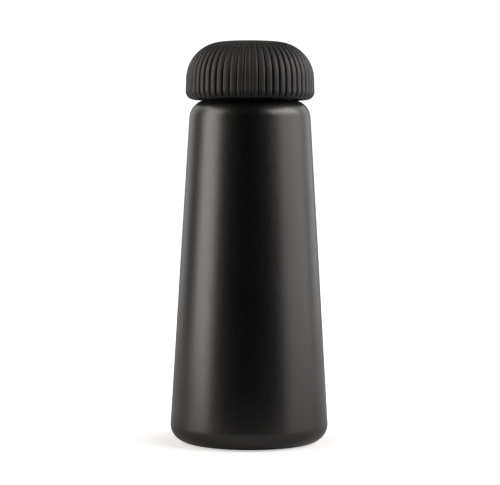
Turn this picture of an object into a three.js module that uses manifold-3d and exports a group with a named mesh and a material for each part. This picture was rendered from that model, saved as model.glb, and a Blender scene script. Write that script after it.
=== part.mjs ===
// A double-walled steel vacuum flask with a tapered body and a ribbed mushroom-shaped screw stopper.
// Millimetres, +Z up, origin at the centre of the foot, on the surface that the flask stands on.
// A profile is a closed outline of [radius, height] points, listed anticlockwise and turned about Z.
import * as THREE from 'three';
import { mergeVertices } from 'three/addons/utils/BufferGeometryUtils.js';
import Module from 'manifold-3d';

const wasm = await Module();
wasm.setup();

// Driving dimensions of the body
const BODY_RADIUS = 40.3; // widest, just above the foot
const FOOT_FILLET = 8.9; // outside corner between the wall and the foot
const FOOT_FILLET_Z = 9.05; // height of that corner's centre
const TAPER = THREE.MathUtils.degToRad(3.46); // half angle of the cone
const SHOULDER_Z = 174.3; // top plane of the shoulder
const SHOULDER_FILLET = 9.5;
const SHELL_WALL = 0.6;
const LINER_WALL = 0.5;
const VACUUM_GAP = 3.4;
const LINER_BELLY_Z = 146; // where the liner's cone turns in towards the neck
const LINER_TURN = 2.6; // how far it has come in where the slope up to the neck starts
const LINER_TURN_RISE = 4.8;
const LINER_JOINT_Z = 18; // where the liner's tube meets its bottom
const LINER_BOTTOM_FILLET = 5;
const FOIL = 0.25;
const FOIL_CLEAR = 0.5; // between the foil and the liner
const FOIL_DISC_RADIUS = 29;

// Driving dimensions of the foot, from the turned-in hem of the outer wall inwards
const HEM_RADIUS = 30;
const HEM_TOP_Z = 4.2;
const PAN_LOW_Z = 3.5;
const PAN_RISE = 1.1; // the pan's middle stands this much higher than its rim
const PAN_WALL = 0.6;
const PAN_STEP_R = 22; // where the pan's raised middle ends
const PAN_SLOPE = 1.5; // how far out the slope down to its rim reaches
const BEAD_HOLE = 1.5;
const GETTER_X = 13; // off the middle, clear of the bead
const GETTER_RADIUS = 4.5;
const GETTER_HEIGHT = 2.6;
const PLATE_STEP_R = 24.8; // the steel plate's middle stands below its rim
const PLATE_LOW_Z = 0.9;
const PLATE_RIM_Z = 2.2;
const PLATE_WALL = 0.6;

// Driving dimensions of the neck and its thread
const LIP_Z = 175.5; // top of the welded mouth
const COLLAR_RADIUS = 20.8; // outside of the mouth's rim, where it stands above the shoulder
const BORE = 19.6; // bore radius between the thread ridges
const NECK_RIDGE = 18.5; // radius at the crest of the neck's ridge
const SEAT_BORE = 17.8; // smooth bore that the seal ring fits
const SEAT_LOW_Z = 155;
const SEAT_HIGH_Z = 160.5;
const SEAT_FLARE = 2; // the seat widens by this just below its low end
const SEAT_FLARE_DROP = 1.2;
const WALL_SHIFT = 0.5; // drop from the outside to the inside of the wall on that slope
const THREAD_LOW_Z = 162.5;
const THREAD_START_Z = 163.7;
const LEAD = 5; // rise of the stopper in one turn

// Driving dimensions of the stopper and its mushroom cap
const CAP_RADIUS = 32.6;
const CAP_LOW_Z = 174.3;
const CAP_SIDE_Z = 184.6; // height where the side turns into the dome
const CAP_SIDE_ARC = 19;
const CAP_RIM_FILLET = 4.1;
const CAP_LEAN = THREE.MathUtils.degToRad(1.8);
const DOME_BREAK = THREE.MathUtils.degToRad(85.5); // where the side arc meets the nearly flat top
const CAP_WALL = 2.4;
const FOAM_CLEAR = 0.5; // between the dome's foam and the cap
const LEDGE_RADIUS = 28; // opening of the cap's underside, which the flange snaps past
const LEDGE_TOP_Z = 177;
const RIBS = 56;
const RIB_DEPTH = 0.95;
const RIB_FADE = 9; // the ribs run out between twice this radius and this radius
const RIB_START = 0.15; // heights above the cap's rim between which the grooves deepen
const RIB_FULL = 1.6;
const CORE = 18; // stopper radius under its thread
const STOPPER_RIDGE = 19.2; // radius at the crest of the stopper's ridge
const NOSE = 17.2; // stopper radius below the thread
const NOSE_LOW_Z = 155.6;
const GROOVE = 15.4; // stopper radius inside the seal ring
const GROOVE_TOP_Z = 159.6;
const DISC_RADIUS = 17; // steel disc under the stopper
const DISC_THICK = 1;
const FLANGE_WALL = 1.5;
const GASKET_RADIUS = 23;
const POCKET_RADIUS = 16.2; // hollow of the stopper, which holds foam
const POCKET_LOW_Z = 158;
const POCKET_FLOOR_R = 13.8; // the pocket narrows inside the groove
const POCKET_STEP_Z = 161;

const GAP = 0.1; // clearance between pieces that touch
const SIDES = 32; // facets round a full turn
const SMALL_SIDES = 16;
const RIGHT_ANGLE = Math.PI / 2;

const arc = (r, z, radius, from, to, steps) =>
  Array.from({ length: steps + 1 }, (_, i) => {
    const t = from + ((to - from) * i) / steps;
    return [r + radius * Math.cos(t), z + radius * Math.sin(t)];
  });

// A closed outline turned about Z. LatheGeometry turns about Y, so the result is tipped up.
function revolve(outline, sides = SIDES) {
  const points = [...outline, outline[0]].map(([r, z]) => new THREE.Vector2(r, z));
  return new THREE.LatheGeometry(points, sides).rotateX(RIGHT_ANGLE);
}

function toSolid(geometry) {
  const bare = geometry.clone();
  bare.deleteAttribute('normal');
  bare.deleteAttribute('uv');
  const merged = mergeVertices(bare, 1e-3);
  return new wasm.Manifold(
    new wasm.Mesh({
      numProp: 3,
      vertProperties: new Float32Array(merged.attributes.position.array),
      triVerts: new Uint32Array(merged.index.array),
    }),
  );
}

function toGeometry(solid) {
  const { vertProperties, triVerts } = solid.getMesh();
  const geometry = new THREE.BufferGeometry();
  geometry.setAttribute('position', new THREE.BufferAttribute(vertProperties, 3));
  geometry.setIndex(new THREE.BufferAttribute(triVerts, 1));
  geometry.computeVertexNormals();
  return geometry;
}

// A right-hand thread ridge: a box bent round Z, whose length runs round and up the helix. Its root lies
// in the wall that carries it, and over its first and last eighth of a turn the crest sinks to the root.
function threadRidge({ root, crest, halfRoot, halfCrest, startZ, turns }) {
  const steps = Math.round(turns * SIDES);
  const box = new THREE.BoxGeometry(1, 1, 1, 1, steps, 1);
  const position = box.attributes.position;
  const runOut = 1 / 8;
  const endHeight = 0.02; // share of the full height that is left at the very end
  for (let i = 0; i < position.count; i += 1) {
    const along = (position.getY(i) + 0.5) * turns;
    const height = Math.min(1, endHeight + Math.min(along, turns - along) / runOut);
    const atCrest = position.getX(i) > 0 === crest > root;
    const radius = atCrest ? root + (crest - root) * height : root;
    const half = atCrest ? halfCrest : halfRoot;
    const angle = along * 2 * Math.PI;
    const z = startZ + LEAD * along + 2 * position.getZ(i) * half;
    position.setXYZ(i, radius * Math.cos(angle), radius * Math.sin(angle), z);
  }
  return box;
}

// The straight cone's outside radius at a height, and the centre of the shoulder's rounding.
const coneStart = [
  BODY_RADIUS - FOOT_FILLET + FOOT_FILLET * Math.cos(TAPER),
  FOOT_FILLET_Z + FOOT_FILLET * Math.sin(TAPER),
];
const coneRadius = (z) => coneStart[0] - (z - coneStart[1]) * Math.tan(TAPER);
const shoulderCentre = [
  coneRadius(SHOULDER_Z - SHOULDER_FILLET) - SHOULDER_FILLET / Math.cos(TAPER),
  SHOULDER_Z - SHOULDER_FILLET,
];

const FOOT_CENTRE_R = BODY_RADIUS - FOOT_FILLET;
const SHELL_LOW_Z = FOOT_FILLET_Z - FOOT_FILLET;

// ---- Flask body ----

// Painted outer wall: turned-in hem, foot corner, cone, shoulder and the short collar at the mouth.
function outerShell() {
  const innerFoot = FOOT_FILLET - SHELL_WALL;
  const innerShoulder = SHOULDER_FILLET - SHELL_WALL;
  const [shoulderR, shoulderZ] = shoulderCentre;
  const collarInner = BORE + LINER_WALL + GAP;
  return revolve([
    [HEM_RADIUS, HEM_TOP_Z],
    [HEM_RADIUS, SHELL_LOW_Z + SHELL_WALL],
    [HEM_RADIUS + SHELL_WALL, SHELL_LOW_Z],
    ...arc(FOOT_CENTRE_R, FOOT_FILLET_Z, FOOT_FILLET, -RIGHT_ANGLE, 0, 5),
    ...arc(shoulderR, shoulderZ, SHOULDER_FILLET, TAPER, RIGHT_ANGLE, 5),
    [COLLAR_RADIUS, SHOULDER_Z],
    [COLLAR_RADIUS, LIP_Z],
    [collarInner, LIP_Z],
    [collarInner, SHOULDER_Z - SHELL_WALL],
    ...arc(shoulderR, shoulderZ, innerShoulder, RIGHT_ANGLE, TAPER, 4),
    ...arc(FOOT_CENTRE_R, FOOT_FILLET_Z, innerFoot, 0, -RIGHT_ANGLE, 4),
    [HEM_RADIUS + SHELL_WALL, SHELL_LOW_Z + SHELL_WALL],
    [HEM_RADIUS + SHELL_WALL, HEM_TOP_Z],
  ]);
}

const linerOuter = (z) => coneRadius(z) - (SHELL_WALL + VACUUM_GAP) / Math.cos(TAPER);

// Inner vessel: threaded neck, smooth seat for the seal, and the cone that holds the drink.
function liner() {
  const inner = (z) => linerOuter(z) - LINER_WALL;
  const tube = revolve([
    [inner(LINER_JOINT_Z), LINER_JOINT_Z],
    [linerOuter(LINER_JOINT_Z), LINER_JOINT_Z],
    [linerOuter(LINER_BELLY_Z), LINER_BELLY_Z],
    [linerOuter(LINER_BELLY_Z) - LINER_TURN, LINER_BELLY_Z + LINER_TURN_RISE],
    [SEAT_BORE + LINER_WALL + SEAT_FLARE, SEAT_LOW_Z - SEAT_FLARE_DROP],
    [SEAT_BORE + LINER_WALL, SEAT_LOW_Z],
    [SEAT_BORE + LINER_WALL, SEAT_HIGH_Z + LINER_WALL],
    [BORE + LINER_WALL, THREAD_LOW_Z],
    [BORE + LINER_WALL, LIP_Z],
    [BORE, LIP_Z],
    [BORE, THREAD_LOW_Z],
    [SEAT_BORE, SEAT_HIGH_Z],
    [SEAT_BORE, SEAT_LOW_Z - WALL_SHIFT],
    [SEAT_BORE + SEAT_FLARE, SEAT_LOW_Z - SEAT_FLARE_DROP - WALL_SHIFT],
    [inner(LINER_BELLY_Z) - LINER_TURN, LINER_BELLY_Z + LINER_TURN_RISE - WALL_SHIFT],
    [inner(LINER_BELLY_Z), LINER_BELLY_Z],
  ]);
  const ridge = threadRidge({
    root: BORE + LINER_WALL / 2,
    crest: NECK_RIDGE,
    halfRoot: 1,
    halfCrest: 0.6,
    startZ: THREAD_START_Z,
    turns: 2,
  });
  return toGeometry(toSolid(tube).add(toSolid(ridge)));
}

const LINER_BOTTOM_Z = LINER_JOINT_Z - LINER_BOTTOM_FILLET - 0.3;

// Dished bottom welded to the liner's tube.
function linerBottom() {
  const top = LINER_JOINT_Z - GAP;
  const outer = linerOuter(LINER_JOINT_Z);
  const centreR = outer - LINER_BOTTOM_FILLET;
  const centreZ = LINER_BOTTOM_Z + LINER_BOTTOM_FILLET;
  return revolve([
    [0, LINER_BOTTOM_Z],
    ...arc(centreR, centreZ, LINER_BOTTOM_FILLET, -RIGHT_ANGLE, 0, 4),
    [outer, top],
    [outer - LINER_WALL, top],
    ...arc(centreR, centreZ, LINER_BOTTOM_FILLET - LINER_WALL, 0, -RIGHT_ANGLE, 3),
    [0, LINER_BOTTOM_Z + LINER_WALL],
  ]);
}

const FOIL_TOP_Z = LINER_BELLY_Z - 1;
const FOIL_LOW_Z = LINER_JOINT_Z + 1;

// Reflective foil round the liner, inside the vacuum.
function foilWrap() {
  const inside = (z) => linerOuter(z) + FOIL_CLEAR;
  return revolve([
    [inside(FOIL_LOW_Z), FOIL_LOW_Z],
    [inside(FOIL_LOW_Z) + FOIL, FOIL_LOW_Z],
    [inside(FOIL_TOP_Z) + FOIL, FOIL_TOP_Z],
    [inside(FOIL_TOP_Z), FOIL_TOP_Z],
  ]);
}

// The same foil under the liner's bottom.
function foilDisc() {
  const top = LINER_BOTTOM_Z - FOIL_CLEAR;
  return revolve([
    [0, top - FOIL],
    [FOIL_DISC_RADIUS, top - FOIL],
    [FOIL_DISC_RADIUS, top],
    [0, top],
  ]);
}

// Pan that closes the vacuum jacket, with the evacuation hole in its middle.
function basePan() {
  const middle = PAN_LOW_Z + PAN_RISE;
  return revolve([
    [BEAD_HOLE, middle],
    [PAN_STEP_R, middle],
    [PAN_STEP_R + PAN_SLOPE, PAN_LOW_Z],
    [HEM_RADIUS - GAP, PAN_LOW_Z],
    [HEM_RADIUS - GAP, PAN_LOW_Z + PAN_WALL],
    [PAN_STEP_R + PAN_SLOPE + PAN_WALL, PAN_LOW_Z + PAN_WALL],
    [PAN_STEP_R + PAN_WALL, middle + PAN_WALL],
    [BEAD_HOLE, middle + PAN_WALL],
  ]);
}

// Bead of brazing glass that seals the evacuation hole.
function sealBead() {
  const under = PAN_LOW_Z + PAN_RISE - GAP;
  return revolve(
    [
      [0, under - 0.9],
      [2.4, under - 0.9],
      [3.2, under - 0.4],
      [3.2, under],
      [BEAD_HOLE - GAP, under],
      [BEAD_HOLE - GAP, under + 1.2],
      [0, under + 1.5],
    ],
    SMALL_SIDES,
  );
}

const GETTER_LOW_Z = PAN_LOW_Z + PAN_RISE + PAN_WALL + GAP;

// Gas-absorbing pill that keeps the vacuum.
function getter() {
  return new THREE.CylinderGeometry(GETTER_RADIUS, GETTER_RADIUS, GETTER_HEIGHT, SMALL_SIDES)
    .rotateX(RIGHT_ANGLE)
    .translate(GETTER_X, 0, GETTER_LOW_Z + GETTER_HEIGHT / 2);
}

// Spot-welded strap that bridges the pill.
function getterStrap() {
  const thick = 0.4;
  const width = 4;
  const reach = 8;
  const half = GETTER_RADIUS + 0.4;
  const top = GETTER_HEIGHT + 0.3;
  const shape = new THREE.Shape();
  shape.moveTo(-reach, 0);
  shape.lineTo(-half, 0);
  shape.lineTo(-half, top);
  shape.lineTo(half, top);
  shape.lineTo(half, 0);
  shape.lineTo(reach, 0);
  shape.lineTo(reach, thick);
  shape.lineTo(half + thick, thick);
  shape.lineTo(half + thick, top + thick);
  shape.lineTo(-half - thick, top + thick);
  shape.lineTo(-half - thick, thick);
  shape.lineTo(-reach, thick);
  return new THREE.ExtrudeGeometry(shape, { depth: width, bevelEnabled: false })
    .rotateX(RIGHT_ANGLE)
    .translate(GETTER_X, width / 2, GETTER_LOW_Z);
}

// Bright steel plate in the foot's recess.
function basePlate() {
  return revolve([
    [0, PLATE_LOW_Z],
    [PLATE_STEP_R, PLATE_LOW_Z],
    [PLATE_STEP_R + 0.8, PLATE_RIM_Z],
    [HEM_RADIUS - 0.3, PLATE_RIM_Z],
    [HEM_RADIUS - 0.3, PLATE_RIM_Z + PLATE_WALL],
    [PLATE_STEP_R + 0.4, PLATE_RIM_Z + PLATE_WALL],
    [PLATE_STEP_R - 0.4, PLATE_LOW_Z + PLATE_WALL],
    [0, PLATE_LOW_Z + PLATE_WALL],
  ]);
}

// Double-sided foam tape that holds the plate to the pan.
function baseTape() {
  const low = PLATE_RIM_Z + PLATE_WALL + GAP;
  const high = PAN_LOW_Z - GAP;
  const inner = PLATE_STEP_R + 0.8;
  const outer = HEM_RADIUS - 0.5;
  return revolve([
    [inner, low],
    [outer, low],
    [outer, high],
    [inner, high],
  ]);
}

// Silicone ring that the flask stands on.
function footRing() {
  const inner = PLATE_STEP_R + 1.1;
  const outer = HEM_RADIUS - 0.4;
  const high = PLATE_RIM_Z - GAP;
  return revolve([
    [inner + 0.3, 0],
    [outer - 0.3, 0],
    [outer, 0.3],
    [outer, high],
    [inner, high],
    [inner, 0.3],
  ]);
}

// ---- Stopper and cap ----

// Outline of the cap's outside from the bottom rim over the dome to the axis.
function capOutside(rimSteps, sideSteps, topSteps) {
  const sideR = CAP_RADIUS - CAP_SIDE_ARC;
  const sideTopR = sideR + CAP_SIDE_ARC * Math.cos(CAP_LEAN);
  const sideTopZ = CAP_SIDE_Z + CAP_SIDE_ARC * Math.sin(CAP_LEAN);
  const rimZ = CAP_LOW_Z + CAP_RIM_FILLET;
  const rimR = sideTopR + ((sideTopZ - rimZ) * Math.sin(CAP_LEAN) - CAP_RIM_FILLET) / Math.cos(CAP_LEAN);
  const topRadius = sideR / Math.cos(DOME_BREAK) + CAP_SIDE_ARC;
  const topCentreZ = CAP_SIDE_Z - sideR * Math.tan(DOME_BREAK);
  return [
    ...arc(rimR, rimZ, CAP_RIM_FILLET, -RIGHT_ANGLE, CAP_LEAN, rimSteps),
    ...arc(sideR, CAP_SIDE_Z, CAP_SIDE_ARC, CAP_LEAN, DOME_BREAK, sideSteps),
    ...arc(0, topCentreZ, topRadius, DOME_BREAK, RIGHT_ANGLE, topSteps).slice(1, -1),
    [0, topCentreZ + topRadius],
  ];
}

// How deep the grooves are at a place on the cap: full on the side, none under the rim or on the top.
function ribShare(radius, z) {
  const top = THREE.MathUtils.smoothstep(radius, RIB_FADE, 2 * RIB_FADE);
  const rim = THREE.MathUtils.smoothstep(z, CAP_LOW_Z + RIB_START, CAP_LOW_Z + RIB_FULL);
  return top * rim;
}

// Ribbed mushroom shell. Every second meridian is pulled in to make a groove, with one at the front.
function capShell() {
  const outside = capOutside(4, 6, 2);
  const solidOutline = [[0, CAP_LOW_Z], ...outside];
  const sides = RIBS * 2;
  const ribbed = revolve(solidOutline, sides);
  const position = ribbed.attributes.position;
  const perMeridian = solidOutline.length + 1;
  for (let i = 0; i < position.count; i += 1) {
    const meridian = Math.floor(i / perMeridian);
    const [x, y, z] = [position.getX(i), position.getY(i), position.getZ(i)];
    const radius = Math.hypot(x, y);
    if (meridian % 2 === 0 && radius > RIB_FADE) {
      const lean = Math.asin(THREE.MathUtils.clamp((z - CAP_SIDE_Z) / CAP_SIDE_ARC, 0, 1));
      const depth = RIB_DEPTH * ribShare(radius, z);
      const shrink = 1 - (depth * Math.cos(lean)) / radius;
      position.setXYZ(i, x * shrink, y * shrink, z - depth * Math.sin(lean));
    }
  }
  const cavity = revolve([
    [0, CAP_LOW_Z - 1],
    [LEDGE_RADIUS, CAP_LOW_Z - 1],
    [LEDGE_RADIUS, LEDGE_TOP_Z],
    ...cavityOutside(LEDGE_TOP_Z),
  ]);
  return toGeometry(toSolid(ribbed).subtract(toSolid(cavity)));
}

// Outline of the cap's hollow from a height up, or of a filling that stands `clear` of it.
function cavityOutside(lowZ, clear = 0) {
  const radius = CAP_SIDE_ARC - CAP_WALL - clear;
  const sideR = CAP_RADIUS - CAP_SIDE_ARC;
  return [
    [sideR + radius, lowZ],
    ...arc(sideR, CAP_SIDE_Z, radius, 0, RIGHT_ANGLE, 5),
    [0, CAP_SIDE_Z + radius],
  ];
}

const FLANGE_LOW_Z = LEDGE_TOP_Z + GAP;
const FLANGE_TOP_Z = FLANGE_LOW_Z + FLANGE_WALL;
const FLANGE_RADIUS = CAP_RADIUS - CAP_WALL - 0.2;

// Moulded plug: seal groove, thread, and the flange that the cap snaps over.
function stopper() {
  const plug = revolve([
    [0, NOSE_LOW_Z],
    [GROOVE, NOSE_LOW_Z],
    [GROOVE, GROOVE_TOP_Z],
    [NOSE, GROOVE_TOP_Z],
    [NOSE, SEAT_HIGH_Z],
    [CORE, THREAD_LOW_Z],
    [CORE, FLANGE_LOW_Z],
    [FLANGE_RADIUS, FLANGE_LOW_Z],
    [FLANGE_RADIUS, FLANGE_TOP_Z],
    [POCKET_RADIUS, FLANGE_TOP_Z],
    [POCKET_RADIUS, POCKET_STEP_Z],
    [POCKET_FLOOR_R, GROOVE_TOP_Z - 0.2],
    [POCKET_FLOOR_R, POCKET_LOW_Z],
    [0, POCKET_LOW_Z],
  ]);
  const ridge = threadRidge({
    root: CORE - 0.3,
    crest: STOPPER_RIDGE,
    halfRoot: 1.2,
    halfCrest: 0.7,
    startZ: THREAD_START_Z + LEAD / 2,
    turns: 1.5,
  });
  return toGeometry(toSolid(plug).add(toSolid(ridge)));
}

// Ring that closes the cap's underside below the flange and traps the gasket.
function capUnderplate() {
  const low = LIP_Z - GAP;
  return revolve([
    [GASKET_RADIUS + 0.2, low],
    [LEDGE_RADIUS - 0.2, low],
    [LEDGE_RADIUS - 0.2, LEDGE_TOP_Z],
    [GASKET_RADIUS + 0.2, LEDGE_TOP_Z],
  ]);
}

// Silicone ring in the stopper's groove, with two sealing lips.
function sealRing() {
  const inner = GROOVE + 0.2;
  const outer = SEAT_BORE - 0.2;
  const low = NOSE_LOW_Z + GAP;
  const high = GROOVE_TOP_Z - GAP;
  const middle = (low + high) / 2;
  return revolve([
    [inner, low],
    [outer - 0.5, low],
    [outer, low + 0.8],
    [outer - 0.7, middle],
    [outer, high - 0.8],
    [outer - 0.5, high],
    [inner, high],
  ]);
}

// Flat silicone gasket that meets the mouth's lip.
function rimGasket() {
  return revolve([
    [CORE + 0.2, LIP_Z + GAP],
    [GASKET_RADIUS, LIP_Z + GAP],
    [GASKET_RADIUS, LEDGE_TOP_Z],
    [CORE + 0.2, LEDGE_TOP_Z],
  ]);
}

// Steel disc under the stopper, which keeps the drink off the plastic.
function stopperDisc() {
  const high = NOSE_LOW_Z - GAP;
  const low = high - DISC_THICK;
  return revolve([
    [0, low],
    [DISC_RADIUS - 0.8, low],
    [DISC_RADIUS, low + DISC_THICK / 2],
    [DISC_RADIUS, high],
    [0, high],
  ]);
}

// Foam that fills the stopper's pocket.
function stopperFoam() {
  const low = POCKET_LOW_Z + GAP;
  const narrow = POCKET_FLOOR_R - 0.2;
  const wide = POCKET_RADIUS - 0.2;
  return revolve([
    [0, low],
    [narrow, low],
    [narrow, GROOVE_TOP_Z],
    [wide, POCKET_STEP_Z + 0.3],
    [wide, FLANGE_TOP_Z - GAP],
    [0, FLANGE_TOP_Z - GAP],
  ]);
}

// Foam pad that fills the dome above the flange.
function domeFoam() {
  const low = FLANGE_TOP_Z + GAP;
  return revolve([[0, low], ...cavityOutside(low, FOAM_CLEAR)]);
}

// ---- Assembly ----

const finish = (color, roughness, metalness = 0) =>
  new THREE.MeshStandardMaterial({ color, roughness, metalness });
const blackPaint = finish(0x17161a, 0.42, 0.1);
const brightSteel = finish(0xb9babb, 0.3, 1);
const brightFoil = finish(0xd2d3d5, 0.25, 1);
const getterAlloy = finish(0x6f6d6a, 0.7, 0.6);
const brazingGlass = finish(0x8a8f78, 0.3);
const blackPlastic = finish(0x232224, 0.62);
const innerPlastic = finish(0x1b1b1c, 0.5);
const clearSilicone = finish(0xd9d9d4, 0.55);
const blackSilicone = finish(0x161616, 0.75);
const foam = finish(0xf0efea, 0.9);
const tape = finish(0x3a3a3c, 0.9);

const pieces = [
  ['outer_shell', outerShell, blackPaint],
  ['liner', liner, brightSteel],
  ['liner_bottom', linerBottom, brightSteel],
  ['foil_wrap', foilWrap, brightFoil],
  ['foil_disc', foilDisc, brightFoil],
  ['base_pan', basePan, brightSteel],
  ['seal_bead', sealBead, brazingGlass],
  ['getter', getter, getterAlloy],
  ['getter_strap', getterStrap, brightSteel],
  ['base_tape', baseTape, tape],
  ['base_plate', basePlate, brightSteel],
  ['foot_ring', footRing, blackSilicone],
  ['cap_shell', capShell, blackPlastic],
  ['cap_underplate', capUnderplate, blackPlastic],
  ['dome_foam', domeFoam, foam],
  ['stopper', stopper, innerPlastic],
  ['stopper_foam', stopperFoam, foam],
  ['stopper_disc', stopperDisc, brightSteel],
  ['seal_ring', sealRing, clearSilicone],
  ['rim_gasket', rimGasket, clearSilicone],
];

const flask = new THREE.Group();
for (const [name, build, material] of pieces) {
  const mesh = new THREE.Mesh(build(), material);
  mesh.name = name;
  flask.add(mesh);
}

export default flask;
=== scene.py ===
"""Looks of a vacuum flask: tapered black steel body, ribbed mushroom cap, threaded stopper, steel liner.

Sizes are in millimetres in the constants and outlines, and become metres when a mesh is made. The
camera, the lights, the floor and the depth of a surface's grain are in metres.
An outline is a closed list of (radius, height, corner radius), anticlockwise, and is turned about Z.
"""

import math

import bmesh
import bpy
from mathutils import Matrix, Vector


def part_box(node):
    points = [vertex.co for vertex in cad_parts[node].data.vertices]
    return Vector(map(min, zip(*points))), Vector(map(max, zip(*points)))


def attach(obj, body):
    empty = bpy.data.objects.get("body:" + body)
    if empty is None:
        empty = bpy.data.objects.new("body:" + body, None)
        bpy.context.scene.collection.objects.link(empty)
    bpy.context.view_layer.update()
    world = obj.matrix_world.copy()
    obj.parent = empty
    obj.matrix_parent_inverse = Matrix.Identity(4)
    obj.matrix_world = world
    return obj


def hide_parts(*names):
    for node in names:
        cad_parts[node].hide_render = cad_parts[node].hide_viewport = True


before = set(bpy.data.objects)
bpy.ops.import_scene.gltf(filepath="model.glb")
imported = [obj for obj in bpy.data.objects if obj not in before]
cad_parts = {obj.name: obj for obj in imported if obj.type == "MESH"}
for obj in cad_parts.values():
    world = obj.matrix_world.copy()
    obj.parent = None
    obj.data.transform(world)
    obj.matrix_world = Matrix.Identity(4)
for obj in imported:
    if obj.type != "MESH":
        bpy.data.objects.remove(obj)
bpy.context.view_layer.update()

MM = 0.001


def top_of(node):
    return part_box(node)[1].z / MM


def low_of(node):
    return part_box(node)[0].z / MM


# Driving dimensions of the body. Those that a node's box gives come from the frame.
BODY_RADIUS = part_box("outer_shell")[1].x / MM
LIP_Z = top_of("outer_shell")
SHELL_LOW_Z = low_of("outer_shell")
TAPER = math.radians(3.46)  # half angle of the cone
FOOT_FILLET = 8.9
SHOULDER_Z = 174.3
SHOULDER_FILLET = 9.5
SHELL_WALL = 0.6
LINER_WALL = 0.5
VACUUM_GAP = 3.4
LINER_BELLY_Z = 146  # where the liner's cone turns in towards the neck
LINER_BELLY_FILLET = 6
LINER_JOINT_Z = 18  # where the liner's tube meets its bottom
LINER_BOTTOM_DEPTH = 5.2
LINER_BOTTOM_FILLET = 5

# Driving dimensions of the foot
HEM_RADIUS = 30
HEM_TOP_Z = 4.2
PLATE_CLEAR = 0.3  # between the steel plate and the hem
PLATE_LOW_Z = 0.9
PLATE_RIM_Z = 2.2
PLATE_WALL = 0.6
PLATE_STEP_R = 24.8  # where the slope from the plate's middle up to its rim starts
PLATE_SLOPE = 0.8  # how far out that slope reaches
PLATE_SHIFT = 0.4  # how much further in the slope lies on the plate's upper side
PLATE_RINGS = (11, 18)  # radii of the two pressed rings
PLATE_RING_RISE = 0.3
PLATE_RING_HALF = 1.2  # half the width of a pressed ring, and of its flat top
PLATE_RING_TOP_HALF = 0.7
FOOT_RING_CLEAR = 0.4  # between the silicone ring and the hem
FOOT_RING_INNER = 25.9
FOOT_RING_TOP_Z = 2.1
CHANNEL_HALF = 0.6  # half the width of the channel under the silicone ring, and of its flat top
CHANNEL_TOP_HALF = 0.3
CHANNEL_DEPTH = 0.4

# Driving dimensions of the neck, its thread and the seat of the seal ring
COLLAR_RADIUS = 20.8
BORE = 19.6  # bore radius between the thread's ridges
NECK_RIDGE = 18.5  # radius at the crest of the neck's ridge
NECK_RIDGE_HALVES = (1.0, 0.6)  # half the ridge's width at its root and at its crest
NECK_TURNS = 2
SEAT_BORE = 17.8
SEAT_LOW_Z = 155
SEAT_HIGH_Z = 160.5
SEAT_STEP = 0.4  # the wall's outside turns out to the thread this much above its inside
SEAT_FLARE = 1.5  # the seat widens by this just below its low end
SEAT_FLARE_DROP = 1.2
SEAT_FLARE_SHIFT = 0.6  # drop from the outside to the inside of the wall on that slope
SEAT_FLARE_FILLET = 3
THREAD_LOW_Z = 162.5
THREAD_START_Z = 163.7
LEAD = 5  # rise of the stopper in one turn

# Driving dimensions of the cap
CAP_RADIUS = 32.6
CAP_LOW_Z = low_of("cap_shell")
CAP_SIDE_Z = 184.6  # height where the side turns into the dome
CAP_SIDE_ARC = 19
CAP_RIM_FILLET = 4.1
CAP_LEAN = math.radians(1.8)
DOME_BREAK = math.radians(85.5)  # where the side's arc meets the nearly flat top
CAP_WALL = 2.4
LEDGE_RADIUS = 28
LEDGE_TOP_Z = 177
RIBS = 56
RIB_DEPTH = 0.95
RIB_POWER = 4  # a higher power makes the ribs flatter and the grooves narrower
RIB_FADE = 9  # the ribs run out between twice this radius and this radius
RIB_START = 0.15  # heights above the cap's rim between which the grooves deepen
RIB_FULL = 1.6
RIB_TURN = math.radians(0.9)  # of the groove nearest the front

# Driving dimensions of the stopper and its seals
CORE = 18  # stopper radius under its thread
STOPPER_RIDGE = 19.2  # radius at the crest of the stopper's ridge
STOPPER_RIDGE_HALVES = (1.2, 0.7)
STOPPER_TURNS = 1.5
RIDGE_ROOT = 0.3  # the ridge starts this deep inside the core
NOSE = 17.2  # stopper radius below the thread
GROOVE = 15.4  # stopper radius inside the seal ring
GROOVE_TOP_Z = 159.6
FLANGE_WALL = 1.5
POCKET_RADIUS = 16.2
POCKET_FLOOR_R = 13.8  # the pocket narrows inside the groove
POCKET_STEP_Z = 161
POCKET_STEP_DROP = 1.6
POCKET_LOW_Z = 158
DISC_RADIUS = 17
DISC_THICK = 1
DISC_EDGE = 0.4  # height of the disc's straight edge, and how far the bevel under it runs in
SEAL_LIP = 0.8  # height and depth of each of the seal ring's two lips
SEAL_LEAD_IN = 0.4
GASKET_RADIUS = 23
GAP = 0.1  # clearance between pieces that rest on each other
SNUG = 0.2  # clearance round a piece that fits inside another

# Fineness of the meshes
RIGHT_ANGLE = math.pi / 2
ON_AXIS = 1e-6  # a radius below this is on the axis
SIDES = 144
SAMPLES_PER_RIB = 14
STEPS_PER_TURN = 96  # along a thread
RIM_STEPS = 12
SIDE_STEPS = 26
TOP_STEPS = 10
SHARP_ANGLE = math.radians(32)
RIB_SHARP_ANGLE = math.radians(50)

# Depth of a surface's grain and of polishing lines, in metres
GRAIN_DEPTH = 0.00005
LINE_DEPTH = 0.00003

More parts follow.
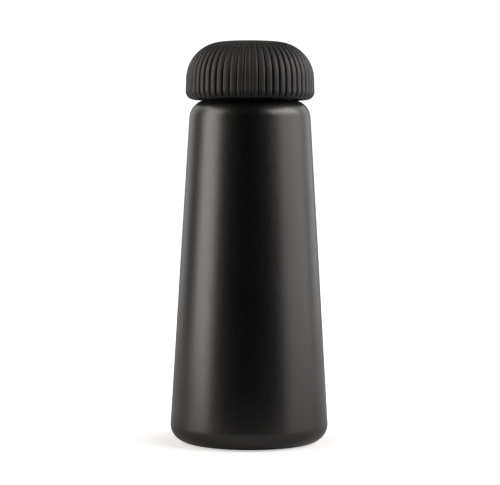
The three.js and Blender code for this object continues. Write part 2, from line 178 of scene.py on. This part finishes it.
# Camera, light and floor, in metres
LENS = 127.05  # this and the sensor's width are in millimetres
SENSOR = 36
NEAREST = 0.05  # the camera sees nothing nearer or farther
FARTHEST = 20
CAMERA_PLACE = (0.0002, -0.900, 0.1430)
CAMERA_PITCH = 0.0459  # radians below the horizontal
CAMERA_ROLL = 0.0030
LIGHT_AIM = Vector((0, 0, 0.10))
WARM_LIGHT = (1, 0.92, 0.84)
FAINTLY_WARM_LIGHT = (1, 0.945, 0.9)
WHITE_LIGHT = (1, 1, 1)
BACKGROUND_GLOW = 1.2  # brightness of the background that the camera sees
ROOM_LIGHT = 0.0  # light that the background throws on the flask
SWEEP_DARK = (0.55, 0.55, 0.55)
SWEEP_LIGHT = (0.59, 0.59, 0.59)
SWEEP_GLOW = 1.0  # what the camera sees on top of the lit floor
CONTACT_GLOW = 0.54  # the same right beside the foot, lower there as a painted contact shadow
CONTACT_REACH = 0.06
CONTACT_SAMPLES = 16
CONTACT_POWER = 2.2  # a higher power spreads the painted contact shadow beside the foot further out
SWEEP_HALF_WIDTH = 3.0
SWEEP_FRONT = -0.11  # it ends here, so that little of it shines in the middle of the body
SWEEP_BACK = 1.6  # where the floor starts to curve up
SWEEP_BEND = 0.8
SWEEP_BEND_STEPS = 16
SWEEP_TOP = 3.0


# ---- Mesh making ----


def corner_steps(radius):
    """A wider rounding gets more steps."""
    return round(3 + 1.2 * radius)


def arc(r, z, radius, start, end, steps):
    angles = [start + (end - start) * i / steps for i in range(steps + 1)]
    return [(r + radius * math.cos(a), z + radius * math.sin(a)) for a in angles]


def rounded(corners):
    """Turns (r, z, corner radius) corners into (r, z) points. A corner given without a radius stays sharp."""
    outline = []
    for i, corner in enumerate(corners):
        here = Vector(corner[:2])
        fillet = corner[2] if len(corner) > 2 else 0
        if not fillet:
            outline.append(tuple(here))
            continue
        to_last = (Vector(corners[i - 1][:2]) - here).normalized()
        to_next = (Vector(corners[(i + 1) % len(corners)][:2]) - here).normalized()
        half = to_last.angle(to_next) / 2
        centre = here + (to_last + to_next).normalized() * fillet / math.sin(half)
        start = here + to_last * fillet / math.tan(half) - centre
        end = here + to_next * fillet / math.tan(half) - centre
        first = math.atan2(start.y, start.x)
        sweep = math.atan2(start.x * end.y - start.y * end.x, start.dot(end))
        outline += arc(*centre, fillet, first, first + sweep, corner_steps(fillet))
    return outline


def smooth_step(value, low, high):
    """Rises from 0 at low to 1 at high, level at both ends."""
    t = min(1, max(0, (value - low) / (high - low)))
    return t * t * (3 - 2 * t)


def on_turn(radius, angle, height):
    """A point in metres, from its radius and height in millimetres and its angle about Z."""
    return Vector((radius * math.cos(angle), radius * math.sin(angle), height)) * MM


def turn(bm, outline, sides=SIDES, shape=None):
    """Adds a closed outline turned about Z. shape(r, z, angle) may move a point to a new (r, z)."""
    rings = []
    for r, z in outline:
        count = sides if r > ON_AXIS else 1
        ring = []
        for side in range(count):
            angle = 2 * math.pi * side / sides - RIGHT_ANGLE
            radius, height = shape(r, z, angle) if shape else (r, z)
            ring.append(bm.verts.new(on_turn(radius, angle, height)))
        rings.append(ring)
    for ring, above in zip(rings, rings[1:] + rings[:1]):
        if len(ring) == len(above) == 1:
            continue
        for side in range(sides):
            after = (side + 1) % sides
            quad = [ring[side % len(ring)], ring[after % len(ring)]]
            quad += [above[after % len(above)], above[side % len(above)]]
            bm.faces.new(dict.fromkeys(quad))


def thread_ridge(bm, root, crest, halves, start_z, turns):
    """A right-hand ridge whose crest has rounded corners and sinks to the root at both ends."""
    half_root, half_crest = halves
    # Upper half of the section: share of the ridge's full reach, and height above its middle
    upper = [
        (1, 0.55 * half_crest),
        (0.95, 0.9 * half_crest),
        (0.75, 1.12 * half_crest),
        (0, half_root),
    ]
    section = [(share, -dz) for share, dz in reversed(upper)] + upper
    run_out = 1 / 8  # of a turn
    end_share = 0.02  # so that the ends aren't quite flat
    steps = round(turns * STEPS_PER_TURN)
    rings = []
    for step in range(steps + 1):
        along = turns * step / steps
        height = smooth_step(end_share + min(along, turns - along) / run_out, 0, 1)
        angle = 2 * math.pi * along
        z = start_z + LEAD * along
        radii = [root + (crest - root) * share * height for share, _ in section]
        ring = [bm.verts.new(on_turn(r, angle, z + dz)) for r, (_, dz) in zip(radii, section)]
        rings.append(ring)
    faces = [rings[0], rings[-1][::-1]]
    for ring, after in zip(rings, rings[1:]):
        for i, vert in enumerate(ring):
            j = (i + 1) % len(ring)
            faces.append([ring[j], vert, after[i], after[j]])
    outwards = crest > root
    for face in faces:
        bm.faces.new(face if outwards else face[::-1])


def piece(name, bm, body, node, material, sharp=SHARP_ANGLE):
    """Finishes a mesh as a piece that rides on a body and stands for a CAD node."""
    mesh = bpy.data.meshes.new(name)
    bm.to_mesh(mesh)
    bm.free()
    mesh.shade_smooth()
    mesh.set_sharp_from_angle(angle=sharp)
    mesh.materials.append(material)
    made = bpy.data.objects.new(name, mesh)
    bpy.context.scene.collection.objects.link(made)
    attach(made, body)
    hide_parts(node)


def turned_piece(name, corners, body, node, material):
    """A piece that is one rounded outline turned about Z."""
    bm = bmesh.new()
    turn(bm, rounded(corners))
    piece(name, bm, body, node, material)


# ---- Materials ----


class Nodes:
    """A small helper that adds nodes to a new material and links them."""

    def __init__(self, name):
        self.material = bpy.data.materials.new(name)
        self.material.use_nodes = True
        self.tree = self.material.node_tree
        self.shader = self.tree.nodes["Principled BSDF"]

    def add(self, kind, inputs=None, **settings):
        node = self.tree.nodes.new(kind)
        for key, value in settings.items():
            setattr(node, key, value)
        for key, value in (inputs or {}).items():
            self.put(value, node.inputs[key])
        return node

    def put(self, value, socket):
        """Links another node's output to the socket, or sets a plain value on it."""
        if isinstance(value, bpy.types.NodeSocket):
            self.tree.links.new(value, socket)
        else:
            socket.default_value = value

    def set(self, **values):
        """Puts values on the shader's own sockets. An underscore in a name stands for a space."""
        for key, value in values.items():
            self.put(value, self.shader.inputs[key.replace("_", " ")])

    def place(self, scale=(1, 1, 1)):
        where = self.add("ShaderNodeTexCoord").outputs["Object"]
        return self.add("ShaderNodeMapping", {"Vector": where, "Scale": scale}).outputs["Vector"]

    def noise(self, scale, detail=2.0, roughness=0.5, stretch=(1, 1, 1)):
        inputs = {"Vector": self.place(stretch), "Scale": scale, "Detail": detail, "Roughness": roughness}
        return self.add("ShaderNodeTexNoise", inputs).outputs["Fac"]

    def spread(self, value, low, high, start=0.3, end=0.7):
        """Stretches start..end to low..high. Nearly all of a noise lies between 0.3 and 0.7."""
        inputs = {"Value": value, "From Min": start, "From Max": end, "To Min": low, "To Max": high}
        return self.add("ShaderNodeMapRange", inputs).outputs["Result"]

    def mix(self, value, low, high):
        """Mixes two colours. The node repeats its sockets for each data type: these are the colours'."""
        node = self.add("ShaderNodeMix", data_type="RGBA")
        self.put(value, node.inputs[0])
        self.put((*low, 1), node.inputs[6])
        self.put((*high, 1), node.inputs[7])
        return node.outputs[2]

    def maths(self, operation, first, second):
        return self.add("ShaderNodeMath", {0: first, 1: second}, operation=operation).outputs["Value"]

    def bump(self, height, strength, distance):
        inputs = {"Height": height, "Strength": strength, "Distance": distance}
        self.set(Normal=self.add("ShaderNodeBump", inputs).outputs["Normal"])


def grained(name, dark, light, rough, grain, bump, depth=GRAIN_DEPTH, **shader):
    """A moulded or coated surface: fine grain in its relief, with slow changes of tone and roughness."""
    nodes = Nodes(name)
    slow = nodes.noise(scale=35, detail=3)
    fine = nodes.noise(scale=grain, roughness=0.6)
    nodes.set(Base_Color=nodes.mix(nodes.spread(slow, 0, 1), dark, light))
    nodes.set(Roughness=nodes.spread(nodes.noise(scale=grain / 6, detail=3), *rough), **shader)
    nodes.bump(fine, bump, depth)
    return nodes.material


def brushed(name, dark, light, rough, stretch, scale, bump=0.12):
    """Metal with fine lines: noise stretched along the direction in which it was polished or spun."""
    nodes = Nodes(name)
    lines = nodes.noise(scale, detail=4, roughness=0.65, stretch=stretch)
    slow = nodes.noise(scale=25)
    nodes.set(Base_Color=nodes.mix(nodes.spread(slow, 0, 1), dark, light), Metallic=1.0)
    nodes.set(Roughness=nodes.spread(lines, *rough))
    nodes.bump(lines, bump, LINE_DEPTH)
    return nodes.material


def spun(name, dark, light, rough):
    """Metal with fine rings about the axis, as a spun disc has."""
    nodes = Nodes(name)
    flat = nodes.place((1, 1, 0))
    radius = nodes.add("ShaderNodeVectorMath", {0: flat}, operation="LENGTH").outputs["Value"]
    along = nodes.add("ShaderNodeCombineXYZ", {"X": radius}).outputs["Vector"]
    rings = nodes.add("ShaderNodeTexNoise", {"Vector": along, "Scale": 4000.0, "Detail": 3.0}).outputs["Fac"]
    slow = nodes.noise(scale=30)
    nodes.set(Base_Color=nodes.mix(nodes.spread(slow, 0, 1), dark, light), Metallic=1.0)
    nodes.set(Roughness=nodes.spread(rings, *rough))
    nodes.bump(rings, 0.15, LINE_DEPTH)
    return nodes.material


coating = grained(
    "black_coating", dark=(0.0026, 0.0027, 0.003), light=(0.0038, 0.0038, 0.004),
    rough=(0.31, 0.37), grain=3500, bump=0.1,
)
cap_plastic = grained(
    "cap_plastic", dark=(0.0175, 0.0178, 0.0182), light=(0.0215, 0.0218, 0.0222),
    rough=(0.54, 0.62), grain=2500, bump=0.25, Specular_IOR_Level=0.34,
)
inner_plastic = grained(
    "stopper_plastic", dark=(0.010, 0.010, 0.010), light=(0.014, 0.014, 0.0135),
    rough=(0.38, 0.46), grain=2500, bump=0.15,
)
silicone = grained(
    "clear_silicone", dark=(0.62, 0.62, 0.59), light=(0.7, 0.7, 0.66),
    rough=(0.4, 0.5), grain=1500, bump=0.1,
)
black_silicone = grained(
    "black_silicone", dark=(0.011, 0.011, 0.011), light=(0.015, 0.015, 0.015),
    rough=(0.6, 0.7), grain=1800, bump=0.3,
)
foam = grained(
    "foam_beads", dark=(0.72, 0.72, 0.69), light=(0.82, 0.82, 0.79),
    rough=(0.85, 0.95), grain=500, bump=0.8, depth=0.0003,
)
tape = grained(
    "foam_tape", dark=(0.035, 0.035, 0.035), light=(0.05, 0.05, 0.05),
    rough=(0.85, 0.95), grain=900, bump=0.6, depth=0.0001,
)
getter_alloy = grained(
    "getter_alloy", dark=(0.12, 0.115, 0.11), light=(0.18, 0.17, 0.16),
    rough=(0.6, 0.75), grain=900, bump=0.5, Metallic=0.7,
)
brazing_glass = grained(
    "brazing_glass", dark=(0.2, 0.22, 0.15), light=(0.28, 0.3, 0.22),
    rough=(0.12, 0.2), grain=400, bump=0.2,
)
liner_steel = brushed(
    "liner_steel", dark=(0.5, 0.5, 0.51), light=(0.58, 0.58, 0.59),
    rough=(0.24, 0.36), stretch=(1, 1, 40), scale=60,
)
pressed_steel = brushed(
    "pressed_steel", dark=(0.48, 0.48, 0.49), light=(0.56, 0.56, 0.57),
    rough=(0.3, 0.42), stretch=(1, 20, 1), scale=60,
)
foil = brushed(
    "reflective_foil", dark=(0.78, 0.78, 0.79), light=(0.86, 0.86, 0.87),
    rough=(0.12, 0.3), stretch=(1, 1, 1), scale=140, bump=0.5,
)
disc_steel = spun(
    "disc_steel", dark=(0.5, 0.5, 0.51), light=(0.58, 0.58, 0.59), rough=(0.22, 0.36),
)


# ---- Flask body ----


def cone_radius(z):
    """Outside radius of the straight cone. It touches the foot's rounding, which is BODY_RADIUS wide."""
    touch_r = BODY_RADIUS - FOOT_FILLET * (1 - math.cos(TAPER))
    touch_z = SHELL_LOW_Z + FOOT_FILLET * (1 + math.sin(TAPER))
    return touch_r - (z - touch_z) * math.tan(TAPER)


def outer_shell():
    """Painted outer wall: turned-in hem, rounded foot, cone, shoulder and mouth collar."""
    wall = SHELL_WALL
    lean = wall / math.cos(TAPER)
    inside = BORE + LINER_WALL + GAP
    foot_in = SHELL_LOW_Z + wall
    top_in = SHOULDER_Z - wall
    turned_piece(
        "outer_shell_fine",
        [
            (HEM_RADIUS, HEM_TOP_Z, 0.25),
            (HEM_RADIUS, SHELL_LOW_Z, 0.9),
            (cone_radius(SHELL_LOW_Z), SHELL_LOW_Z, FOOT_FILLET),
            (cone_radius(SHOULDER_Z), SHOULDER_Z, SHOULDER_FILLET),
            (COLLAR_RADIUS, SHOULDER_Z, 0.3),
            (COLLAR_RADIUS, LIP_Z, 0.2),
            (inside, LIP_Z, 0.2),
            (inside, top_in, 0.1),
            (cone_radius(top_in) - lean, top_in, SHOULDER_FILLET - wall),
            (cone_radius(foot_in) - lean, foot_in, FOOT_FILLET - wall),
            (HEM_RADIUS + wall, foot_in, 0.3),
            (HEM_RADIUS + wall, HEM_TOP_Z, 0.25),
        ],
        "flask", "outer_shell", coating,
    )


def liner_radius(z):
    """Outside radius of the liner, which follows the cone inside the vacuum gap."""
    return cone_radius(z) - (SHELL_WALL + VACUUM_GAP) / math.cos(TAPER)


def liner():
    """Inner vessel from its joint with the bottom up to the threaded neck."""
    wall = LINER_WALL
    belly = liner_radius(LINER_BELLY_Z)
    flare_z = SEAT_LOW_Z - SEAT_FLARE_DROP
    corners = [
        (liner_radius(LINER_JOINT_Z) - wall, LINER_JOINT_Z, 0.1),
        (liner_radius(LINER_JOINT_Z), LINER_JOINT_Z, 0.1),
        (belly, LINER_BELLY_Z, LINER_BELLY_FILLET),
        (SEAT_BORE + wall + SEAT_FLARE, flare_z, SEAT_FLARE_FILLET),
        (SEAT_BORE + wall, SEAT_LOW_Z + wall, 0.5),
        (SEAT_BORE + wall, SEAT_HIGH_Z + SEAT_STEP, 0.6),
        (BORE + wall, THREAD_LOW_Z, 0.6),
        (BORE + wall, LIP_Z, 0.22),
        (BORE, LIP_Z, 0.22),
        (BORE, THREAD_LOW_Z, 0.6),
        (SEAT_BORE, SEAT_HIGH_Z, 0.6),
        (SEAT_BORE, SEAT_LOW_Z, 0.6),
        (SEAT_BORE + SEAT_FLARE, flare_z - SEAT_FLARE_SHIFT, SEAT_FLARE_FILLET),
        (belly - wall, LINER_BELLY_Z, LINER_BELLY_FILLET),
    ]
    bm = bmesh.new()
    turn(bm, rounded(corners))
    thread_ridge(bm, BORE + wall / 2, NECK_RIDGE, NECK_RIDGE_HALVES, THREAD_START_Z, NECK_TURNS)
    piece("liner_fine", bm, "flask", "liner", liner_steel)


def liner_bottom():
    high = LINER_JOINT_Z - GAP
    low = high - LINER_BOTTOM_DEPTH
    outer = liner_radius(LINER_JOINT_Z)
    turned_piece(
        "liner_bottom_fine",
        [
            (0, low),
            (outer, low, LINER_BOTTOM_FILLET),
            (outer, high, 0.1),
            (outer - LINER_WALL, high, 0.1),
            (outer - LINER_WALL, low + LINER_WALL, LINER_BOTTOM_FILLET - LINER_WALL),
            (0, low + LINER_WALL),
        ],
        "flask", "liner_bottom", disc_steel,
    )


def base_plate():
    """Recessed steel disc in the foot, with two shallow pressed rings."""
    edge = HEM_RADIUS - PLATE_CLEAR
    rim_high = PLATE_RIM_Z + PLATE_WALL
    middle_high = PLATE_LOW_Z + PLATE_WALL
    corners = [(0, PLATE_LOW_Z)]
    for radius in PLATE_RINGS:
        corners += [
            (radius - PLATE_RING_HALF, PLATE_LOW_Z, 0.4),
            (radius - PLATE_RING_TOP_HALF, PLATE_LOW_Z + PLATE_RING_RISE, 0.4),
            (radius + PLATE_RING_TOP_HALF, PLATE_LOW_Z + PLATE_RING_RISE, 0.4),
            (radius + PLATE_RING_HALF, PLATE_LOW_Z, 0.4),
        ]
    corners += [
        (PLATE_STEP_R, PLATE_LOW_Z, 0.5),
        (PLATE_STEP_R + PLATE_SLOPE, PLATE_RIM_Z, 0.3),
        (edge, PLATE_RIM_Z, 0.1),
        (edge, rim_high, 0.1),
        (PLATE_STEP_R + PLATE_SLOPE - PLATE_SHIFT, rim_high, 0.3),
        (PLATE_STEP_R - PLATE_SHIFT, middle_high, 0.3),
        (0, middle_high),
    ]
    turned_piece("base_plate_fine", corners, "flask", "base_plate", disc_steel)


def foot_ring():
    """Silicone ring with a shallow channel, so that it stands on two rounded lips."""
    inner = FOOT_RING_INNER
    outer = HEM_RADIUS - FOOT_RING_CLEAR
    middle = (inner + outer) / 2
    turned_piece(
        "foot_ring_fine",
        [
            (inner, 0, 0.35),
            (middle - CHANNEL_HALF, 0, 0.2),
            (middle - CHANNEL_TOP_HALF, CHANNEL_DEPTH, 0.15),
            (middle + CHANNEL_TOP_HALF, CHANNEL_DEPTH, 0.15),
            (middle + CHANNEL_HALF, 0, 0.2),
            (outer, 0, 0.35),
            (outer, FOOT_RING_TOP_Z, 0.15),
            (inner, FOOT_RING_TOP_Z, 0.15),
        ],
        "flask", "foot_ring", black_silicone,
    )


# ---- Cap and stopper ----


def cap_outside():
    """Outside of the cap from its underside over the dome to the axis."""
    side_r = CAP_RADIUS - CAP_SIDE_ARC
    lean_r = side_r + CAP_SIDE_ARC * math.cos(CAP_LEAN)
    lean_z = CAP_SIDE_Z + CAP_SIDE_ARC * math.sin(CAP_LEAN)
    rim_z = CAP_LOW_Z + CAP_RIM_FILLET
    rim_r = lean_r + ((lean_z - rim_z) * math.sin(CAP_LEAN) - CAP_RIM_FILLET) / math.cos(CAP_LEAN)
    top_arc = side_r / math.cos(DOME_BREAK) + CAP_SIDE_ARC
    top_z = CAP_SIDE_Z - side_r * math.tan(DOME_BREAK)
    outline = arc(rim_r, rim_z, CAP_RIM_FILLET, -RIGHT_ANGLE, CAP_LEAN, RIM_STEPS)
    outline += arc(side_r, CAP_SIDE_Z, CAP_SIDE_ARC, CAP_LEAN, DOME_BREAK, SIDE_STEPS)
    outline += arc(0, top_z, top_arc, DOME_BREAK, RIGHT_ANGLE, TOP_STEPS)[1:-1]
    return outline + [(0, top_z + top_arc)]


def ribbed(r, z, angle):
    """Pulls a point of the cap's outside in, along the surface's normal, to make the groove beside a rib."""
    across = (angle - RIB_TURN + RIGHT_ANGLE) * RIBS / (2 * math.pi)
    from_groove = abs(2 * ((across + 0.5) % 1) - 1)
    depth = RIB_DEPTH * (1 - from_groove)**RIB_POWER
    depth *= smooth_step(r, RIB_FADE, 2 * RIB_FADE)
    depth *= smooth_step(z, CAP_LOW_Z + RIB_START, CAP_LOW_Z + RIB_FULL)
    lean = math.asin(min(1, max(0, (z - CAP_SIDE_Z) / CAP_SIDE_ARC)))
    return r - depth * math.cos(lean), z - depth * math.sin(lean)


def cap_shell():
    """Ribbed shell, open below: its hollow follows the dome, and a ledge holds the flange."""
    outside = cap_outside()
    on_outside = set(outside)
    side_r = CAP_RADIUS - CAP_SIDE_ARC
    hollow_arc = CAP_SIDE_ARC - CAP_WALL
    hollow = [(0, CAP_SIDE_Z + hollow_arc)]
    hollow += arc(side_r, CAP_SIDE_Z, hollow_arc, RIGHT_ANGLE, 0, RIM_STEPS)
    hollow += [(side_r + hollow_arc, LEDGE_TOP_Z), (LEDGE_RADIUS, LEDGE_TOP_Z), (LEDGE_RADIUS, CAP_LOW_Z)]

    def shape(r, z, angle):
        return ribbed(r, z, angle) if (r, z) in on_outside else (r, z)

    bm = bmesh.new()
    turn(bm, outside + hollow, RIBS * SAMPLES_PER_RIB, shape)
    piece("cap_shell_fine", bm, "cap", "cap_shell", cap_plastic, RIB_SHARP_ANGLE)


def cap_underplate():
    inner = GASKET_RADIUS + SNUG
    outer = LEDGE_RADIUS - SNUG
    low = LIP_Z - GAP
    turned_piece(
        "cap_underplate_fine",
        [(inner, low, 0.25), (outer, low, 0.25), (outer, LEDGE_TOP_Z, 0.1), (inner, LEDGE_TOP_Z, 0.1)],
        "cap", "cap_underplate", inner_plastic,
    )


def stopper():
    """Moulded plug: groove for the seal ring, threaded core, flange, and a pocket for the foam."""
    nose_low = top_of("stopper_disc") + GAP
    flange_low = LEDGE_TOP_Z + GAP
    flange_high = flange_low + FLANGE_WALL
    flange = CAP_RADIUS - CAP_WALL - SNUG
    corners = [
        (0, nose_low),
        (GROOVE, nose_low, 0.2),
        (GROOVE, GROOVE_TOP_Z, 0.2),
        (NOSE, GROOVE_TOP_Z, 0.2),
        (NOSE, SEAT_HIGH_Z, 0.4),
        (CORE, THREAD_LOW_Z, 0.4),
        (CORE, flange_low, 0.15),
        (flange, flange_low, 0.2),
        (flange, flange_high, 0.2),
        (POCKET_RADIUS, flange_high, 0.2),
        (POCKET_RADIUS, POCKET_STEP_Z, 0.3),
        (POCKET_FLOOR_R, POCKET_STEP_Z - POCKET_STEP_DROP, 0.3),
        (POCKET_FLOOR_R, POCKET_LOW_Z, 0.3),
        (0, POCKET_LOW_Z),
    ]
    bm = bmesh.new()
    turn(bm, rounded(corners))
    start_z = THREAD_START_Z + LEAD / 2
    thread_ridge(bm, CORE - RIDGE_ROOT, STOPPER_RIDGE, STOPPER_RIDGE_HALVES, start_z, STOPPER_TURNS)
    piece("stopper_fine", bm, "cap", "stopper", inner_plastic)


def stopper_disc():
    high = top_of("stopper_disc")
    low = high - DISC_THICK
    turned_piece(
        "stopper_disc_fine",
        [
            (0, low),
            (DISC_RADIUS - DISC_EDGE, low, 0.5),
            (DISC_RADIUS, high - DISC_EDGE, 0.3),
            (DISC_RADIUS, high, 0.15),
            (0, high),
        ],
        "cap", "stopper_disc", disc_steel,
    )


def seal_ring():
    """Silicone ring with two lips and a waist between them."""
    low = low_of("seal_ring")
    high = top_of("seal_ring")
    inner = GROOVE + SNUG
    outer = SEAT_BORE - SNUG
    turned_piece(
        "seal_ring_fine",
        [
            (inner, low, 0.2),
            (outer - SEAL_LEAD_IN, low, 0.3),
            (outer, low + SEAL_LIP, 0.35),
            (outer - SEAL_LIP, (low + high) / 2, 0.4),
            (outer, high - SEAL_LIP, 0.35),
            (outer - SEAL_LEAD_IN, high, 0.3),
            (inner, high, 0.2),
        ],
        "seals", "seal_ring", silicone,
    )


def rim_gasket():
    low = low_of("rim_gasket")
    high = top_of("rim_gasket")
    inner = CORE + SNUG
    turned_piece(
        "rim_gasket_fine",
        [(inner, low, 0.3), (GASKET_RADIUS, low, 0.3), (GASKET_RADIUS, high, 0.2), (inner, high, 0.2)],
        "seals", "rim_gasket", silicone,
    )


# ---- Camera, light and floor ----


def camera():
    """In front of the flask, level with its upper half and looking slightly down."""
    data = bpy.data.cameras.new("camera")
    data.lens = LENS
    data.sensor_width = SENSOR
    data.clip_start = NEAREST
    data.clip_end = FARTHEST
    made = bpy.data.objects.new("camera", data)
    tilt = Matrix.Rotation(RIGHT_ANGLE - CAMERA_PITCH, 4, "X") @ Matrix.Rotation(CAMERA_ROLL, 4, "Z")
    made.matrix_world = Matrix.Translation(CAMERA_PLACE) @ tilt
    bpy.context.scene.collection.objects.link(made)
    bpy.context.scene.camera = made


def sweep_paint():
    """Pale paint. To the camera it also glows, so that the floor is nearly white, and glows less beside the
    foot as a painted contact shadow.
    """
    paint = Nodes("pale_sweep")
    tone = paint.mix(paint.spread(paint.noise(scale=3), 0, 1), SWEEP_DARK, SWEEP_LIGHT)
    paint.set(Base_Color=tone, Roughness=0.9, Specular_IOR_Level=0.1)
    seen = paint.add("ShaderNodeLightPath").outputs["Is Camera Ray"]
    sky = paint.add("ShaderNodeAmbientOcclusion", {"Distance": CONTACT_REACH}, samples=CONTACT_SAMPLES)
    # Right beside a tall wall half of the sky is open, so the range starts at a half
    openness = paint.maths("POWER", paint.spread(sky.outputs["AO"], 0, 1, 0.5, 1), CONTACT_POWER)
    # The glow is lowered where the foot closes in the sky: a painted contact shadow beside the foot
    shade = paint.spread(openness, CONTACT_GLOW, SWEEP_GLOW, 0, 1)
    paint.set(Emission_Color=(1, 1, 1, 1), Emission_Strength=paint.maths("MULTIPLY", seen, shade))
    return paint.material


def floor_sweep():
    """A floor that curves up behind into a wall."""
    curve = arc(SWEEP_BACK, SWEEP_BEND, SWEEP_BEND, -RIGHT_ANGLE, 0, SWEEP_BEND_STEPS)
    section = [(SWEEP_FRONT, 0), *curve, (SWEEP_BACK + SWEEP_BEND, SWEEP_TOP)]
    bm = bmesh.new()
    rows = [[bm.verts.new((x, y, z)) for x in (-SWEEP_HALF_WIDTH, SWEEP_HALF_WIDTH)] for y, z in section]
    for row, after in zip(rows, rows[1:]):
        bm.faces.new([*row, *after[::-1]])
    mesh = bpy.data.meshes.new("sweep")
    bm.to_mesh(mesh)
    bm.free()
    mesh.shade_smooth()
    mesh.materials.append(sweep_paint())
    sweep = bpy.data.objects.new("sweep", mesh)
    bpy.context.scene.collection.objects.link(sweep)


def background():
    """White where the camera sees it and dark to everything else, so that the boxes alone light the flask."""
    world = bpy.data.worlds.new("studio")
    world.use_nodes = True
    tree = world.node_tree
    level = tree.nodes.new("ShaderNodeMapRange")
    level.inputs["To Min"].default_value = ROOM_LIGHT
    level.inputs["To Max"].default_value = BACKGROUND_GLOW
    seen = tree.nodes.new("ShaderNodeLightPath").outputs["Is Camera Ray"]
    tree.links.new(seen, level.inputs["Value"])
    shader = tree.nodes["Background"]
    shader.inputs["Color"].default_value = (1, 1, 1, 1)
    tree.links.new(level.outputs["Result"], shader.inputs["Strength"])
    bpy.context.scene.world = world


def softbox(name, azimuth, distance, height, size, power, colour):
    """A rectangular light that faces the flask. Azimuth 0 is the camera's side and 90 is the right."""
    data = bpy.data.lights.new(name, "AREA")
    data.shape = "RECTANGLE"
    data.size, data.size_y = size
    data.energy = power
    data.color = colour
    made = bpy.data.objects.new(name, data)
    made.visible_camera = False
    a = math.radians(azimuth)
    place = Vector((distance * math.sin(a), -distance * math.cos(a), height))
    facing = (LIGHT_AIM - place).to_track_quat("-Z", "Y").to_matrix().to_4x4()
    made.matrix_world = Matrix.Translation(place) @ facing
    bpy.context.scene.collection.objects.link(made)


def lights():
    """Soft boxes at both sides: name, azimuth, distance, height, width and height, watts, colour."""
    softbox("left_box", -78, 1.1, 0.42, (0.7, 1.1), 16, WARM_LIGHT)
    softbox("left_high_box", -108, 1.1, 1.05, (0.4, 0.4), 2, WARM_LIGHT)
    softbox("left_rear_box", -140, 1.3, 0.45, (0.8, 1.1), 3, WHITE_LIGHT)
    softbox("right_box", 84, 1.1, 0.28, (1.2, 0.75), 7.6, FAINTLY_WARM_LIGHT)
    softbox("right_high_box", 76, 1.1, 0.88, (1.4, 0.5), 18, FAINTLY_WARM_LIGHT)
    softbox("right_rear_box", 136, 1.3, 0.5, (0.8, 1.2), 4.5, WHITE_LIGHT)


camera()
floor_sweep()
background()
lights()
bpy.context.scene.view_settings.view_transform = "Standard"

outer_shell()
liner()
liner_bottom()
base_plate()
foot_ring()
cap_shell()
cap_underplate()
stopper()
stopper_disc()
seal_ring()
rim_gasket()

# CAD nodes whose shape is right, which only get a material
CAD_MATERIALS = {
    "foil_wrap": foil,
    "foil_disc": foil,
    "base_pan": pressed_steel,
    "seal_bead": brazing_glass,
    "getter": getter_alloy,
    "getter_strap": pressed_steel,
    "base_tape": tape,
    "dome_foam": foam,
    "stopper_foam": foam,
}
for node, material in CAD_MATERIALS.items():
    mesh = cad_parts[node].data
    mesh.materials.clear()
    mesh.materials.append(material)
